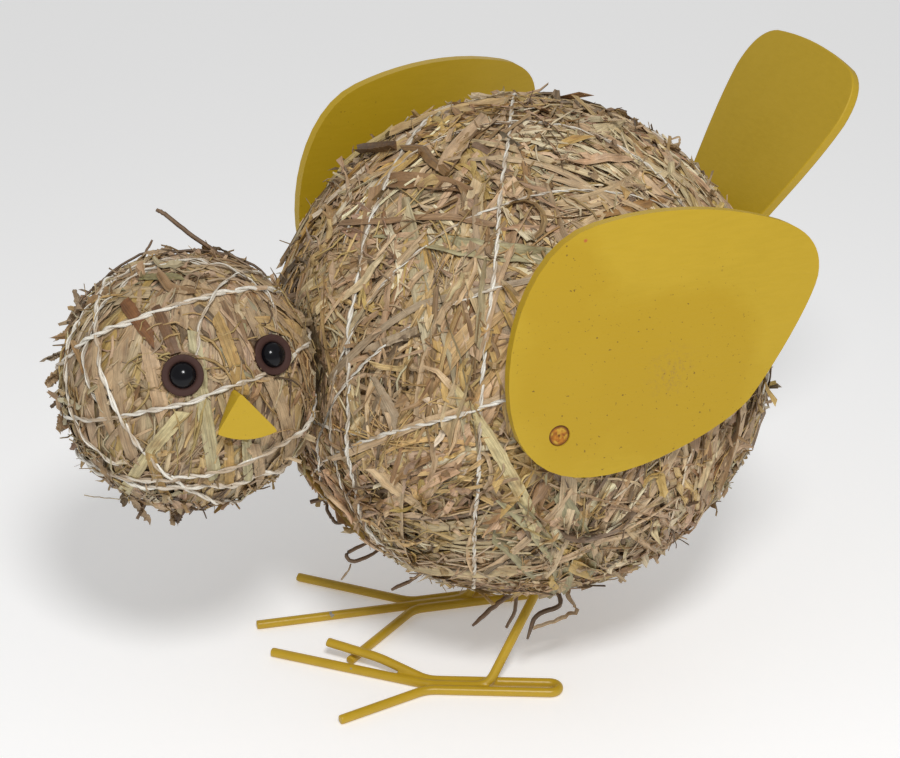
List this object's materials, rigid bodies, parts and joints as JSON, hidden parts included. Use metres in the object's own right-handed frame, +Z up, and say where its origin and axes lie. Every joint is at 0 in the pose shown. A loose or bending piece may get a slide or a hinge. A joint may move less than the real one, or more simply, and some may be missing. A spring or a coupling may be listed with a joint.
{
  "type": "straw chick figure",
  "caption": "Standing straw chick with a ball body and head bound in twine, swivelling painted board wings, a board tail and beak, button eyes and bent wire feet.",
  "frame": {"origin": "centre of the bounding box at floor level", "axes": "+Z up, -Y the way the body faces, +X the chick's left side, to which its face is turned"},
  "size_m": [0.1578, 0.2392, 0.1796],
  "materials": {
    "straw": "dry, matt, frayed straw leaf",
    "packed_hay": "pressed hay",
    "twine": "pale shiny twisted twine",
    "painted_board": "thin plywood under mustard yellow semi-matt paint",
    "painted_wire": "yellow satin paint on steel wire",
    "bare_wood": "unfinished dowel",
    "rusty_steel": "rusty screw with traces of yellow paint",
    "pin_steel": "plain wire pin",
    "eye_disc": "dark brown, matt",
    "eye_button": "black, polished"
  },
  "bodies": {
    "torso": {"body_core": "packed_hay", "body_straw_coat": "straw", "body_twine": "twine", "cross_dowel": "bare_wood", "neck_dowel": "bare_wood", "tail_board": "painted_board", "wing_left_screw": "rusty_steel", "wing_right_screw": "rusty_steel", "leg_wire_left": "painted_wire", "foot_wire_left": "painted_wire", "leg_wire_right": "painted_wire", "foot_wire_right": "painted_wire"},
    "wing_left": {"wing_left": "painted_board"},
    "wing_right": {"wing_right": "painted_board"},
    "head": {"head_core": "packed_hay", "head_straw_coat": "straw", "head_twine": "twine", "beak": "painted_board", "beak_pin": "pin_steel", "eye_left_disc": "eye_disc", "eye_left_pupil": "eye_button", "eye_right_disc": "eye_disc", "eye_right_pupil": "eye_button"}
  },
  "joints": [
    {"name": "wing_left_swivel", "type": "hinge", "parent": "torso", "child": "wing_left", "pos_m": [0.07304, -0.00747, 0.1059], "axis": [0.991, -0.1059, 0.0819], "continuous": true},
    {"name": "wing_right_swivel", "type": "hinge", "parent": "torso", "child": "wing_right", "pos_m": [-0.07356, -0.00747, 0.1059], "axis": [0.991, 0.1059, -0.0819], "continuous": true},
    {"name": "head_turn", "type": "hinge", "parent": "torso", "child": "head", "pos_m": [-0.00026, -0.08387, 0.1071], "axis": [0, -0.9957, 0.0929], "range_deg": [-45, 45]}
  ]
}
